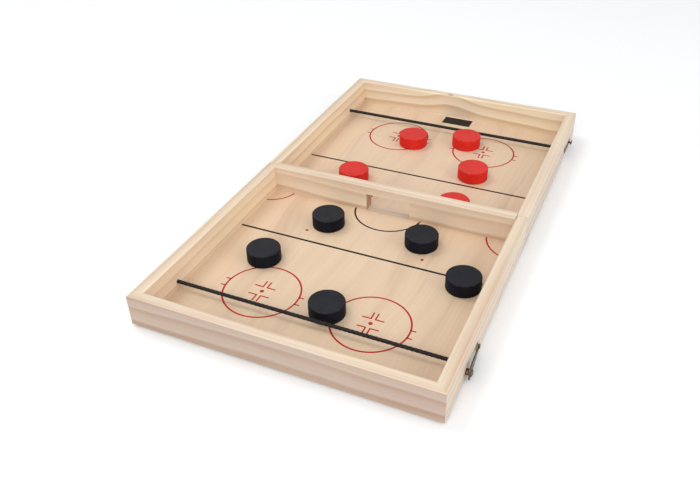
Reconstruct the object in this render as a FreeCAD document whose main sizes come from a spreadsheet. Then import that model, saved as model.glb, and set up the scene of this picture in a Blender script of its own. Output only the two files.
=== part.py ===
"""Folding tabletop sling-puck board: two shallow wooden trays hinged together, with elastic cords and pucks.

Frame, in millimetres: X across the board, Y along it (the near tray is -Y), Z up.
The origin is on the table, under the middle of the seam between the two trays.
"""
import FreeCAD
import Part
import Sketcher

import math
import os

Vector = FreeCAD.Vector

# ---------------------------------------------------------------- driving dimensions
DIMENSIONS = [
    ("board_width", 310.0, "outside width of a tray"),
    ("board_length", 540.0, "outside length of the open board"),
    ("rim_top", 36.0, "table to the top of the rails"),
    ("foot_height", 2.0, "thickness of the stick-on feet"),
    ("foot_radius", 5.0, "radius of a foot"),
    ("foot_inset", 6.5, "foot centre to the outer faces of the corner"),
    ("seam_gap", 0.3, "gap between the two trays"),
    ("side_thick", 12.0, "thickness of a side rail"),
    ("end_thick", 11.0, "thickness of an end rail"),
    ("divider_thick", 6.6, "thickness of one tray's half of the divider"),
    ("rail_round", 1.8, "rounding of the rails' upper edges"),
    ("divider_round", 1.2, "rounding of the divider boards' upper edges"),
    ("panel_thick", 3.0, "plywood floor panel"),
    ("rabbet_deep", 4.8, "how far the panel runs into the rails"),
    ("panel_slack", 0.1, "gap round the panel in its rabbet"),
    ("gate_width", 52.0, "gate between the trays"),
    ("gate_top", 26.0, "table to the underside of the gate's lintel"),
    ("cord_from_seam", 209.6, "seam to an elastic cord"),
    ("cord_level", 12.8, "table to a cord's middle"),
    ("cord_radius", 2.0, "elastic cord"),
    ("cord_hole_radius", 2.2, "hole that the cord runs through"),
    ("knot_hole_radius", 4.5, "counterbore that hides the knot"),
    ("knot_hole_deep", 6.2, "depth of that counterbore"),
    ("knot_radius", 3.8, "knot on a cord's end"),
    ("knot_long", 5.2, "length of a knot along the cord"),
    ("puck_radius", 18.0, "puck"),
    ("puck_high", 15.0, "height of a puck"),
    ("puck_round", 1.3, "rounding of a puck's edges"),
    ("puck_lift", 0.05, "air between a puck and the panel"),
    ("hinge_level", 1.7, "table to the hinge pins' axis"),
    ("knuckle_radius", 1.6, "hinge knuckle"),
    ("pin_radius", 0.8, "hinge pin"),
    ("pin_play", 0.05, "play of the pin in the turning knuckle"),
    ("hinge_wide", 10.0, "length of a hinge along its pin"),
    ("mortise_play", 0.2, "gap round a leaf in its mortise"),
    ("hinge_reach", 20.0, "seam to the far end of a leaf"),
    ("leaf_thick", 1.0, "thickness of a leaf"),
    ("relief_reach", 2.1, "how far the knuckle's relief runs from the seam"),
    ("relief_top", 3.7, "table to the top of the knuckle's relief"),
    ("screw_radius", 1.1, "shank of a hinge or plate screw"),
    ("screw_head_radius", 2.1, "head of a hinge or plate screw"),
    ("screw_head_high", 0.6, "head thickness"),
    ("hinge_screw_long", 9.0, "length of a hinge screw"),
    ("hinge_screw_first", 7.5, "seam to the first hinge screw"),
    ("hinge_screw_second", 15.5, "seam to the second hinge screw"),
    ("notch_near", 209.5, "seam to the outer end of the finger notch"),
    ("notch_far", 177.5, "seam to the inner end of the finger notch"),
    ("notch_top", 14.5, "table to the top of the finger notch"),
    ("notch_deep", 5.0, "depth of the finger notch into the rail"),
    ("pivot_from_seam", 213.5, "seam to the hook's pivot"),
    ("pivot_level", 9.0, "table to the hook's pivot"),
    ("pivot_radius", 1.3, "shank of the pivot screw"),
    ("pivot_deep", 8.0, "how far the pivot screw runs into the rail"),
    ("spacer_radius", 3.0, "spacer under the hook"),
    ("spacer_long", 2.7, "length of the spacer"),
    ("hook_play", 0.4, "gap at each face of the hook's eye, where the strap leans"),
    ("hook_thick", 1.3, "thickness of the hook's strap"),
    ("hook_root", 4.0, "pivot to the hook's root end"),
    ("hook_root_high", 13.0, "width of the hook at its root"),
    ("hook_root_round", 2.0, "rounding of the root's corners"),
    ("hook_arm_high", 5.0, "width of the hook at its slot"),
    ("hook_long", 35.4, "pivot to the tip of the hook"),
    ("hook_slot_at", 30.66, "pivot to the hook's slot"),
    ("hook_slot_radius", 1.75, "half the width of the slot"),
    ("hook_tab_long", 1.4, "length of the finger tab along the strap"),
    ("hook_tab_out", 1.9, "how far the finger tab stands out"),
    ("hook_lean", 4.0, "lean of the strap towards the rail, degrees"),
    ("pivot_head_radius", 3.4, "head of the pivot screw"),
    ("pivot_head_high", 1.5, "height of that head"),
    ("stud_from_seam", 239.0, "seam to the catch stud"),
    ("stud_level", 8.0, "table to the catch stud"),
    ("stud_radius", 1.4, "shank of the catch stud"),
    ("stud_head_radius", 3.0, "head of the catch stud"),
    ("stud_head_high", 1.2, "height of that head"),
    ("stud_reach", 2.85, "rail to the underside of the stud's head"),
    ("plate_start", 209.0, "seam to the strike plate"),
    ("plate_long", 36.0, "length of the strike plate"),
    ("plate_high", 9.0, "width of the strike plate"),
    ("plate_thick", 0.8, "thickness of the strike plate, let in flush"),
    ("plate_screw_first", 213.5, "seam to the plate's first screw"),
    ("plate_screw_second", 228.0, "seam to the plate's second screw"),
    ("plate_screw_long", 8.0, "length of a plate screw"),
]

# Where each puck rests: name, across the board, along the board.
PUCKS = [
    ("black_puck_1", -87.8, -134.3),
    ("black_puck_2", -53.3, -50.0),
    ("black_puck_3", 55.0, -47.5),
    ("black_puck_4", 117.5, -99.5),
    ("black_puck_5", 10.4, -187.2),
    ("red_puck_1", -32.3, 163.8),
    ("red_puck_2", 32.9, 185.8),
    ("red_puck_3", 64.3, 109.8),
    ("red_puck_4", -67.7, 51.6),
    ("red_puck_5", 66.0, 28.7),
]

# Each tray: its name and the side of the seam that it is on.
TRAYS = [("near", -1), ("far", 1)]
SIDES = [("left", -1), ("right", 1)]

doc = FreeCAD.newDocument("SlingPuckBoard")
sheet = doc.addObject("Spreadsheet::Sheet", "Dims")
sheet.Label = "Dims"
for row, (alias, value, note) in enumerate(DIMENSIONS, start=1):
    sheet.set(f"A{row}", note)
    sheet.set(f"B{row}", str(value))
    sheet.setAlias(f"B{row}", alias)
doc.recompute()

parts = []  # every object that is written to a file


# ---------------------------------------------------------------- helpers
def cell(alias):
    """A dimension's value in millimetres, read from the sheet."""
    return float(sheet.get(alias))


def dim(text):
    """An expression in which each alias is written as {alias} and read from the sheet."""
    for alias, _, _ in DIMENSIONS:
        text = text.replace("{" + alias + "}", f"Dims.{alias}")
    return text


def amount(text):
    """The number that an expression of aliases gives now, worked out by FreeCAD's quantity parser."""
    for alias, _, _ in DIMENSIONS:
        text = text.replace("{" + alias + "}", repr(cell(alias)))
    return FreeCAD.Units.Quantity(text).Value


def new_body(name):
    body = doc.addObject("PartDesign::Body", name)
    body.Label = name
    parts.append(body)
    return body


def origin_plane(body, role):
    return next(f for f in body.Origin.OriginFeatures if f.Role == role)


def new_sketch(body, name, role, offset):
    """A sketch flat on one of the body's origin planes, moved along its normal by an expression."""
    sketch = body.newObject("Sketcher::SketchObject", name)
    sketch.AttachmentSupport = [(origin_plane(body, role), "")]
    sketch.MapMode = "FlatFace"
    sketch.setExpression("AttachmentOffset.Base.z", dim(offset))
    return sketch


def pin_point(sketch, geometry, which, x, y):
    """Ties a point of the sketch to the sheet with two signed distances from the sketch's origin."""
    for kind, text in (("DistanceX", x), ("DistanceY", y)):
        value = amount(text)
        if abs(value) < 1e-9:
            other = -2 if kind == "DistanceX" else -1
            sketch.addConstraint(Sketcher.Constraint("PointOnObject", geometry, which, other))
            continue
        index = sketch.addConstraint(Sketcher.Constraint(kind, -1, 1, geometry, which, value))
        sketch.setExpression(f"Constraints[{index}]", dim(text))


def polygon(body, name, role, offset, points):
    """A closed outline of straight edges, each corner given by two expressions."""
    sketch = new_sketch(body, name, role, offset)
    places = [Vector(amount(x), amount(y), 0) for x, y in points]
    count = len(points)
    for i in range(count):
        sketch.addGeometry(Part.LineSegment(places[i], places[(i + 1) % count]), False)
    for i in range(count):
        sketch.addConstraint(Sketcher.Constraint("Coincident", i, 2, (i + 1) % count, 1))
    for i, (x, y) in enumerate(points):
        pin_point(sketch, i, 1, x, y)
    return sketch


def rectangle(body, name, role, offset, low, high):
    (x0, y0), (x1, y1) = low, high
    return polygon(body, name, role, offset, [(x0, y0), (x1, y0), (x1, y1), (x0, y1)])


def circles(body, name, role, offset, centres, radius):
    """One or more round outlines of one radius."""
    sketch = new_sketch(body, name, role, offset)
    for x, y in centres:
        round_edge = Part.Circle(Vector(amount(x), amount(y), 0), Vector(0, 0, 1), amount(radius))
        index = sketch.addGeometry(round_edge, False)
        size = sketch.addConstraint(Sketcher.Constraint("Radius", index, amount(radius)))
        sketch.setExpression(f"Constraints[{size}]", dim(radius))
        pin_point(sketch, index, 3, x, y)
    return sketch


def pad(body, sketch, length, back=False):
    feature = body.newObject("PartDesign::Pad", sketch.Name + "_pad")
    feature.Profile = sketch
    feature.Reversed = back
    feature.setExpression("Length", dim(length))
    sketch.Visibility = False
    doc.recompute()
    return feature


def pocket(body, sketch, length, back=False):
    """Cuts the sketch's outline away, and stops if nothing was cut."""
    before = body.Shape.Volume
    feature = body.newObject("PartDesign::Pocket", sketch.Name + "_pocket")
    feature.Profile = sketch
    feature.Reversed = back
    feature.setExpression("Length", dim(length))
    sketch.Visibility = False
    doc.recompute()
    if body.Shape.Volume > before - 0.01:
        raise RuntimeError(f"{feature.Name} cuts nothing")
    return feature


def round_edges(body, radius, keep):
    """Rounds the edges of the body for which keep(edge) is true."""
    tip = body.Tip
    names = [f"Edge{i}" for i, edge in enumerate(tip.Shape.Edges, start=1) if keep(edge)]
    feature = body.newObject("PartDesign::Fillet", f"{body.Name}_round_{len(body.Group)}")
    feature.Base = (tip, names)
    feature.setExpression("Radius", dim(radius))
    doc.recompute()
    return feature


def along_rim(edge, axis):
    """True for a straight edge on the rim's plane that runs along X or Y, or at 0 along neither."""
    ends = [vertex.Point for vertex in edge.Vertexes]
    if len(ends) != 2 or any(abs(point.z - cell("rim_top")) > 0.01 for point in ends):
        return False
    run = ends[1] - ends[0]
    return abs(getattr(run, axis)) > 0.99 * run.Length


def cylinder(name, radius, height, base, turn=None):
    """A Part cylinder whose sizes and base come from the sheet; turn is (axis, degrees)."""
    shape = doc.addObject("Part::Cylinder", name)
    shape.Label = name
    shape.setExpression("Radius", dim(radius))
    shape.setExpression("Height", dim(height))
    if turn:
        shape.Placement = FreeCAD.Placement(Vector(), FreeCAD.Rotation(Vector(*turn[0]), turn[1]))
    for letter, text in zip("xyz", base):
        shape.setExpression(f"Placement.Base.{letter}", dim(text))
    return shape


def joined(name, pieces, kind="Part::MultiFuse"):
    """One node made of several Part objects: fused into one solid, or kept apart as a compound."""
    node = doc.addObject(kind, name)
    node.Label = name
    if kind == "Part::MultiFuse":
        node.Shapes = pieces
    else:
        node.Links = pieces
    parts.append(node)
    return node


def outward(side):
    """The turn that points a cylinder from a side rail outwards."""
    return ((0, 1, 0), 90 * side)


# ---------------------------------------------------------------- wooden trays
def hinge_mortise(body, tray, side_name, side):
    """The shallow seat of a hinge leaf, cut from below."""
    middle = f"{side}*({{board_width}}/2-{{side_thick}}/2)"
    half = "({hinge_wide}/2+{mortise_play})"
    mortise = rectangle(
        body, f"{body.Name}_{side_name}_mortise", "XY_Plane", "{foot_height}",
        (f"{middle}-{half}", "0"), (f"{middle}+{half}", f"{tray}*({{hinge_reach}}+{{mortise_play}})"))
    pocket(body, mortise, "{leaf_thick}+0.05", back=True)


def rail_cuts_from_below(body, tray, side_name, side):
    """The hinge's mortise, the relief for its knuckles and the pilot holes of its screws."""
    hinge_mortise(body, tray, side_name, side)
    middle = f"{side}*({{board_width}}/2-{{side_thick}}/2)"
    half = "({hinge_wide}/2+{mortise_play})"
    name = body.Name
    relief = rectangle(
        body, name + "_relief", "XY_Plane", "{foot_height}",
        (f"{middle}-{half}", "0"), (f"{middle}+{half}", f"{tray}*{{relief_reach}}"))
    pocket(body, relief, "{relief_top}-{foot_height}", back=True)
    pilots = circles(
        body, name + "_pilots", "XY_Plane", "{foot_height}",
        [(middle, f"{tray}*{{hinge_screw_first}}"), (middle, f"{tray}*{{hinge_screw_second}}")],
        "{screw_radius}")
    pocket(body, pilots, "{hinge_screw_long}", back=True)


def rail_cut_from_side(body, name, side, sketch_maker, deep):
    """Cuts into the rail's outer face, towards the middle of the board."""
    sketch = sketch_maker(body, f"{body.Name}_{name}", "YZ_Plane", f"{side}*{{board_width}}/2")
    pocket(body, sketch, deep, back=side < 0)


def round_cut(centres, radius):
    return lambda body, name, role, offset: circles(body, name, role, offset, centres, radius)


def square_cut(low, high):
    return lambda body, name, role, offset: rectangle(body, name, role, offset, low, high)


def side_rail(tray_name, tray, side_name, side):
    """A side rail, mitred at the outer corner and cut square at the seam."""
    body = new_body(f"{tray_name}_{side_name}_rail")
    outer = f"{side}*{{board_width}}/2"
    inner = f"{side}*({{board_width}}/2-{{side_thick}})"
    corner = f"{tray}*{{board_length}}/2"
    mitre = f"{tray}*({{board_length}}/2-{{end_thick}})"
    seam = f"{tray}*{{seam_gap}}/2"
    plan = polygon(
        body, body.Name + "_plan", "XY_Plane", "{foot_height}",
        [(outer, corner), (outer, seam), (inner, seam), (inner, mitre)])
    pad(body, plan, "{rim_top}-{foot_height}")
    round_edges(body, "{rail_round}", lambda edge: along_rim(edge, "y"))
    rabbet = rectangle(
        body, body.Name + "_rabbet", "XY_Plane", "{foot_height}",
        (f"{side}*({{board_width}}/2-{{side_thick}}-1)",
         f"{tray}*({{board_length}}/2-{{end_thick}}+{{rabbet_deep}})"),
        (f"{side}*({{board_width}}/2-{{side_thick}}+{{rabbet_deep}})",
         f"{tray}*({{divider_thick}}+{{seam_gap}}/2)"))
    pocket(body, rabbet, "{panel_thick}", back=True)
    rail_cuts_from_below(body, tray, side_name, side)
    cord_centre = [(f"{tray}*{{cord_from_seam}}", "{cord_level}")]
    for hole, deep in (("cord_hole", "{side_thick}+1"), ("knot_hole", "{knot_hole_deep}")):
        rail_cut_from_side(body, hole, side, round_cut(cord_centre, f"{{{hole}_radius}}"), deep)
    if tray < 0:
        notch = square_cut(("-{notch_near}", "{foot_height}-1"), ("-{notch_far}", "{notch_top}"))
        rail_cut_from_side(body, "notch", side, notch, "{notch_deep}")
        pivot = round_cut([("-{pivot_from_seam}", "{pivot_level}")], "{pivot_radius}")
        rail_cut_from_side(body, "pivot_hole", side, pivot, "{pivot_deep}")
    else:
        low = ("{plate_start}-0.05", "{stud_level}-{plate_high}/2-0.05")
        high = ("{plate_start}+{plate_long}+0.05", "{stud_level}+{plate_high}/2+0.05")
        rail_cut_from_side(body, "plate_mortise", side, square_cut(low, high), "{plate_thick}")
        screws = [("{plate_screw_first}", "{stud_level}"), ("{plate_screw_second}", "{stud_level}")]
        pilots = round_cut(screws, "{screw_radius}")
        rail_cut_from_side(body, "plate_pilots", side, pilots, "{plate_screw_long}")
        stud = round_cut([("{stud_from_seam}", "{stud_level}")], "{stud_radius}")
        rail_cut_from_side(body, "stud_hole", side, stud, "{pivot_deep}")
    return body


def end_rail(tray_name, tray):
    """The rail across the tray's outer end, mitred at both corners."""
    body = new_body(f"{tray_name}_end_rail")
    outer = f"{tray}*{{board_length}}/2"
    inner = f"{tray}*({{board_length}}/2-{{end_thick}})"
    wide = "{board_width}/2"
    narrow = "({board_width}/2-{side_thick})"
    plan = polygon(
        body, body.Name + "_plan", "XY_Plane", "{foot_height}",
        [(f"-{wide}", outer), (wide, outer), (narrow, inner), (f"-{narrow}", inner)])
    pad(body, plan, "{rim_top}-{foot_height}")
    round_edges(body, "{rail_round}", lambda edge: along_rim(edge, "x"))
    reach = "({board_width}/2-{side_thick}+{rabbet_deep})"
    rabbet = rectangle(
        body, body.Name + "_rabbet", "XY_Plane", "{foot_height}",
        (f"-{reach}", f"{tray}*({{board_length}}/2-{{end_thick}}-1)"),
        (reach, f"{tray}*({{board_length}}/2-{{end_thick}}+{{rabbet_deep}})"))
    pocket(body, rabbet, "{panel_thick}", back=True)
    return body


def divider_board(tray_name, tray):
    """One tray's half of the divider, with the gate that the pucks are shot through."""
    body = new_body(f"{tray_name}_divider")
    reach = "({board_width}/2-{side_thick})"
    plan = rectangle(
        body, body.Name + "_plan", "XY_Plane", "{foot_height}",
        (f"-{reach}", f"{tray}*{{seam_gap}}/2"), (reach, f"{tray}*({{seam_gap}}/2+{{divider_thick}})"))
    pad(body, plan, "{rim_top}-{foot_height}")
    round_edges(body, "{divider_round}", lambda edge: along_rim(edge, "x"))
    gate = rectangle(
        body, body.Name + "_gate", "XZ_Plane", "0",
        ("-{gate_width}/2", "{foot_height}+{panel_thick}"), ("{gate_width}/2", "{gate_top}"))
    pocket(body, gate, "{divider_thick}+{seam_gap}+1", back=tray < 0)
    return body


def floor_panel(tray_name, tray):
    """The plywood playing surface, let into rabbets under the rails and cut back over the hinge leaves."""
    body = new_body(f"{tray_name}_panel")
    reach = "({board_width}/2-{side_thick}+{rabbet_deep}-{panel_slack})"
    plan = rectangle(
        body, body.Name + "_plan", "XY_Plane", "{foot_height}",
        (f"-{reach}", f"{tray}*({{divider_thick}}+{{seam_gap}}/2)"),
        (reach, f"{tray}*({{board_length}}/2-{{end_thick}}+{{rabbet_deep}}-{{panel_slack}})"))
    pad(body, plan, "{panel_thick}")
    for side_name, side in SIDES:
        hinge_mortise(body, tray, side_name, side)
    return body


def feet(tray_name, tray):
    """Two stick-on feet under the tray's outer corners."""
    pieces = []
    for side_name, side in SIDES:
        base = (
            f"{side}*({{board_width}}/2-{{foot_inset}})", f"{tray}*({{board_length}}/2-{{foot_inset}})", "0")
        pieces.append(cylinder(f"{tray_name}_{side_name}_foot", "{foot_radius}", "{foot_height}", base))
    return joined(f"{tray_name}_feet", pieces, "Part::Compound")


# ---------------------------------------------------------------- elastic cords
def cord(tray_name, tray):
    """An elastic cord, straight and tight between its two knots."""
    half = "({board_width}/2-{knot_hole_deep}+0.2)"
    base = (f"-{half}", f"{tray}*{{cord_from_seam}}", "{cord_level}")
    node = cylinder(f"{tray_name}_cord", "{cord_radius}", f"2*{half}", base, turn=outward(1))
    parts.append(node)
    return node


def cord_knots(tray_name, tray):
    """The knots on a cord's ends, in the side rails' counterbores."""
    pieces = []
    for side_name, side in SIDES:
        base = (
            f"{side}*({{board_width}}/2-{{knot_hole_deep}}+0.2)", f"{tray}*{{cord_from_seam}}", "{cord_level}")
        block = cylinder(
            f"{tray_name}_{side_name}_knot_block", "{knot_radius}", "{knot_long}", base, turn=outward(side))
        doc.recompute()
        knot = doc.addObject("Part::Fillet", f"{tray_name}_{side_name}_knot")
        knot.Base = block
        rims = [i for i, edge in enumerate(block.Shape.Edges, start=1) if edge.Closed]
        knot.Edges = [(i, cell("knot_radius") * 0.4, cell("knot_radius") * 0.4) for i in rims]
        pieces.append(knot)
    return joined(f"{tray_name}_cord_knots", pieces, "Part::Compound")


# ---------------------------------------------------------------- hinges
def hinge_leaf(side_name, side, tray_name, tray):
    """A leaf with its knuckles: the near leaf has the two outer ones, the far leaf the middle one."""
    body = new_body(f"{side_name}_hinge_{tray_name}_leaf")
    middle = f"{side}*({{board_width}}/2-{{side_thick}}/2)"
    clear = "({knuckle_radius}+0.3)"
    plate = rectangle(
        body, body.Name + "_plan", "XY_Plane", "{foot_height}",
        (f"{middle}-{{hinge_wide}}/2", f"{tray}*{clear}"),
        (f"{middle}+{{hinge_wide}}/2", f"{tray}*{{hinge_reach}}"))
    pad(body, plate, "{leaf_thick}")
    third = "{hinge_wide}/3"
    starts = ["-{hinge_wide}/2", "{hinge_wide}/6+0.1"] if tray < 0 else ["-{hinge_wide}/6+0.1"]
    lengths = [f"{third}-0.1"] * 2 if tray < 0 else [f"{third}-0.2"]
    for number, (start, long) in enumerate(zip(starts, lengths), start=1):
        name = f"{body.Name}_knuckle_{number}"
        tongue = rectangle(
            body, name + "_tongue", "XY_Plane", "{foot_height}",
            (f"{middle}+{start}", f"{tray}*0.3"),
            (f"{middle}+{start}+{long}", f"{tray}*({clear}+0.5)"))
        pad(body, tongue, "{leaf_thick}")
        barrel = circles(
            body, name + "_barrel", "YZ_Plane", f"{middle}+{start}", [("0", "{hinge_level}")],
            "{knuckle_radius}")
        pad(body, barrel, long)
    bore_radius = "{pin_radius}" if tray < 0 else "{pin_radius}+{pin_play}"
    bore = circles(
        body, body.Name + "_bore", "YZ_Plane", f"{middle}+{{hinge_wide}}/2+1", [("0", "{hinge_level}")],
        bore_radius)
    pocket(body, bore, "{hinge_wide}+2")
    screws = [(middle, f"{tray}*{{hinge_screw_first}}"), (middle, f"{tray}*{{hinge_screw_second}}")]
    holes = circles(body, body.Name + "_holes", "XY_Plane", "{foot_height}", screws, "{screw_radius}+0.05")
    pocket(body, holes, "{leaf_thick}", back=True)
    seats = circles(body, body.Name + "_seats", "XY_Plane", "{foot_height}", screws, "{screw_head_radius}+0.1")
    pocket(body, seats, "{screw_head_high}+0.05", back=True)
    return body


def hinge_pin(side_name, side):
    """The pin that the two leaves turn on."""
    middle = f"{side}*({{board_width}}/2-{{side_thick}}/2)"
    base = (f"{middle}-{{hinge_wide}}/2", "0", "{hinge_level}")
    node = cylinder(f"{side_name}_hinge_pin", "{pin_radius}", "{hinge_wide}", base, turn=outward(1))
    parts.append(node)
    return node


def flat_screw(name, base, long, turn=None, head=None):
    """A flat-headed screw: a shank with a head that starts at base, both along the same line."""
    shank = cylinder(name + "_shank", "{screw_radius}", long, base, turn)
    cap = cylinder(name + "_head", "{screw_head_radius}", "{screw_head_high}", head or base, turn)
    screw = doc.addObject("Part::MultiFuse", name)
    screw.Shapes = [shank, cap]
    return screw


def hinge_screws(tray_name, tray):
    """The four screws that hold this tray's two hinge leaves."""
    pieces = []
    for side_name, side in SIDES:
        for number, place in enumerate(("hinge_screw_first", "hinge_screw_second"), start=1):
            base = (f"{side}*({{board_width}}/2-{{side_thick}}/2)", f"{tray}*{{{place}}}", "{foot_height}")
            name = f"{tray_name}_{side_name}_hinge_screw_{number}"
            pieces.append(flat_screw(name, base, "{hinge_screw_long}"))
    return joined(f"{tray_name}_hinge_screws", pieces, "Part::Compound")


# ---------------------------------------------------------------- latches
def hook(side_name, side):
    """The flat swing hook, wide at its root. It is drawn along its own X axis and placed on its pivot,
    leaning to the rail."""
    body = new_body(f"{side_name}_hook")
    back = side < 0
    name = body.Name
    lower = [("-{hook_root}", "-{hook_root_high}/2"), ("{hook_root}", "-{hook_root_high}/2"),
             ("{hook_slot_at}-4", "-{hook_arm_high}/2"), ("{hook_long}", "-{hook_arm_high}/2")]
    upper = [(x, y.lstrip("-")) for x, y in reversed(lower)]
    plate = polygon(body, name + "_plate", "XY_Plane", "0", lower + upper)
    pad(body, plate, "{hook_thick}", back)
    root = -cell("hook_root")
    round_edges(
        body, "{hook_root_round}",
        lambda edge: all(abs(vertex.Point.x - root) < 0.01 for vertex in edge.Vertexes) and edge.Length < 2)
    tab = rectangle(
        body, name + "_tab", "XY_Plane", "0",
        ("{hook_long}-{hook_tab_long}", "-{hook_arm_high}/2"), ("{hook_long}", "{hook_arm_high}/2"))
    pad(body, tab, "{hook_tab_out}", back)
    hole = circles(body, name + "_hole", "XY_Plane", "0", [("0", "0")], "{pivot_radius}+0.25")
    pocket(body, hole, "{hook_thick}", back=not back)
    slot_end = circles(
        body, name + "_slot_end", "XY_Plane", "0", [("{hook_slot_at}", "0")], "{hook_slot_radius}")
    pocket(body, slot_end, "{hook_thick}", back=not back)
    mouth = rectangle(
        body, name + "_mouth", "XY_Plane", "0",
        ("{hook_slot_at}-{hook_slot_radius}", "0"), ("{hook_slot_at}+{hook_slot_radius}", "{hook_arm_high}"))
    pocket(body, mouth, "{hook_thick}", back=not back)
    lean = math.radians(cell("hook_lean"))
    along = Vector(-side * math.sin(lean), math.cos(lean), 0)
    up = Vector(0, 0, 1)
    body.Placement = FreeCAD.Placement(Vector(), FreeCAD.Rotation(along, up, along.cross(up)))
    body.setExpression("Placement.Base.x", dim(f"{side}*({{board_width}}/2+{{spacer_long}}+{{hook_play}})"))
    body.setExpression("Placement.Base.y", dim("-{pivot_from_seam}"))
    body.setExpression("Placement.Base.z", dim("{pivot_level}"))
    return body


def hook_spacer(side_name, side):
    """The sleeve that holds the hook off the rail."""
    base = (f"{side}*{{board_width}}/2", "-{pivot_from_seam}", "{pivot_level}")
    outside = cylinder(f"{side_name}_spacer_outside", "{spacer_radius}", "{spacer_long}", base, outward(side))
    inside = cylinder(f"{side_name}_spacer_inside", "{pivot_radius}+0.05", "{spacer_long}", base, outward(side))
    node = doc.addObject("Part::Cut", f"{side_name}_hook_spacer")
    node.Label = node.Name
    node.Base = outside
    node.Tool = inside
    parts.append(node)
    return node


def headed_pin(name, side, deep, reach, radius, head_radius, head_high, place, level):
    """A shouldered screw that stands out of a side rail: deep in the wood, with its head at reach."""
    shank_base = (f"{side}*({{board_width}}/2-{deep})", place, level)
    head_base = (f"{side}*({{board_width}}/2+{reach})", place, level)
    shank = cylinder(name + "_shank", radius, f"{deep}+{reach}", shank_base, outward(side))
    head = cylinder(name + "_head", head_radius, head_high, head_base, outward(side))
    return joined(name, [shank, head])


def strike_plate(side_name, side):
    """The plate let in flush under the catch stud."""
    body = new_body(f"{side_name}_strike_plate")
    outline = rectangle(
        body, body.Name + "_outline", "YZ_Plane", f"{side}*{{board_width}}/2",
        ("{plate_start}", "{stud_level}-{plate_high}/2"),
        ("{plate_start}+{plate_long}", "{stud_level}+{plate_high}/2"))
    pad(body, outline, "{plate_thick}", back=side > 0)
    stud = round_cut([("{stud_from_seam}", "{stud_level}")], "{stud_radius}")
    rail_cut_from_side(body, "stud_hole", side, stud, "{plate_thick}")
    screws = [("{plate_screw_first}", "{stud_level}"), ("{plate_screw_second}", "{stud_level}")]
    rail_cut_from_side(body, "holes", side, round_cut(screws, "{screw_radius}"), "{plate_thick}")
    return body


def plate_screws(side_name, side):
    """Two round-headed screws in the strike plate."""
    pieces = []
    for number, place in enumerate(("plate_screw_first", "plate_screw_second"), start=1):
        deep = "{plate_screw_long}"
        base = (f"{side}*({{board_width}}/2-{deep})", f"{{{place}}}", "{stud_level}")
        head = (f"{side}*{{board_width}}/2", f"{{{place}}}", "{stud_level}")
        name = f"{side_name}_plate_screw_{number}"
        pieces.append(flat_screw(name, base, deep, outward(side), head))
    return joined(f"{side_name}_plate_screws", pieces, "Part::Compound")


# ---------------------------------------------------------------- pucks
def puck(name, across, along):
    """A turned wooden puck with rounded edges, at its place on the panel."""
    body = new_body(name)
    disc = circles(body, name + "_disc", "XY_Plane", "0", [("0", "0")], "{puck_radius}")
    pad(body, disc, "{puck_high}")
    round_edges(body, "{puck_round}", lambda edge: edge.Closed)
    body.Placement.Base = Vector(across, along, 0)
    body.setExpression("Placement.Base.z", dim("{foot_height}+{panel_thick}+{puck_lift}"))
    return body


# ---------------------------------------------------------------- build and write
for tray_name, tray in TRAYS:
    for side_name, side in SIDES:
        side_rail(tray_name, tray, side_name, side)
    end_rail(tray_name, tray)
    divider_board(tray_name, tray)
    floor_panel(tray_name, tray)
    feet(tray_name, tray)
    cord(tray_name, tray)
    cord_knots(tray_name, tray)
    hinge_screws(tray_name, tray)

for side_name, side in SIDES:
    for tray_name, tray in TRAYS:
        hinge_leaf(side_name, side, tray_name, tray)
    hinge_pin(side_name, side)
    hook(side_name, side)
    hook_spacer(side_name, side)
    headed_pin(
        f"{side_name}_pivot_screw", side, "{pivot_deep}", "({spacer_long}+{hook_thick}+2*{hook_play})",
        "{pivot_radius}", "{pivot_head_radius}", "{pivot_head_high}", "-{pivot_from_seam}", "{pivot_level}")
    strike_plate(side_name, side)
    plate_screws(side_name, side)
    headed_pin(
        f"{side_name}_catch_stud", side, "{pivot_deep}", "{stud_reach}", "{stud_radius}",
        "{stud_head_radius}", "{stud_head_high}", "{stud_from_seam}", "{stud_level}")

for name, across, along in PUCKS:
    puck(name, across, along)

doc.recompute()

for item in doc.Objects:
    if "Invalid" in item.State or "Error" in item.State:
        raise RuntimeError(f"{item.Name} failed: {item.State}")
for node in parts:
    if node.Shape.isNull() or not node.Shape.isValid():
        raise RuntimeError(f"{node.Label} has no valid shape")

os.makedirs("parts", exist_ok=True)
for node in parts:
    node.Shape.exportStep(f"parts/{node.Label}.step")
print(f"{len(parts)} nodes written")
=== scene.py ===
"""The looks of a folding sling-puck board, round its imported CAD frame. Metres, in the CAD part's frame."""
import math

import bmesh
import bpy
from mathutils import Matrix, Vector


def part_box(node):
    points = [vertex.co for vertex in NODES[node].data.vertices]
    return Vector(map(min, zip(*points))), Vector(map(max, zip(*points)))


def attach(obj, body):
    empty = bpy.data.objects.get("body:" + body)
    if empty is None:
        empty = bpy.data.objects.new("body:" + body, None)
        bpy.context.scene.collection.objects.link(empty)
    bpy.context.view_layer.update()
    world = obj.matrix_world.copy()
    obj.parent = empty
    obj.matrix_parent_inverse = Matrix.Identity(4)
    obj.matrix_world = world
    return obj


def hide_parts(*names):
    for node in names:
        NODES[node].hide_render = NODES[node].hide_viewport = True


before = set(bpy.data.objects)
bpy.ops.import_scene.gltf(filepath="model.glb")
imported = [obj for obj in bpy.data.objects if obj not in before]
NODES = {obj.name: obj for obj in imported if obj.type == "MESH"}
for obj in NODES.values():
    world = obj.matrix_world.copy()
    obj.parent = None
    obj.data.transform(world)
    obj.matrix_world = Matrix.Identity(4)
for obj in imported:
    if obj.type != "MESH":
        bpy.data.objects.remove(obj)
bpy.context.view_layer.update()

MM = 0.001
SIDES = (("left", -1), ("right", 1))
TRAYS = (("near", -1), ("far", 1))


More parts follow.
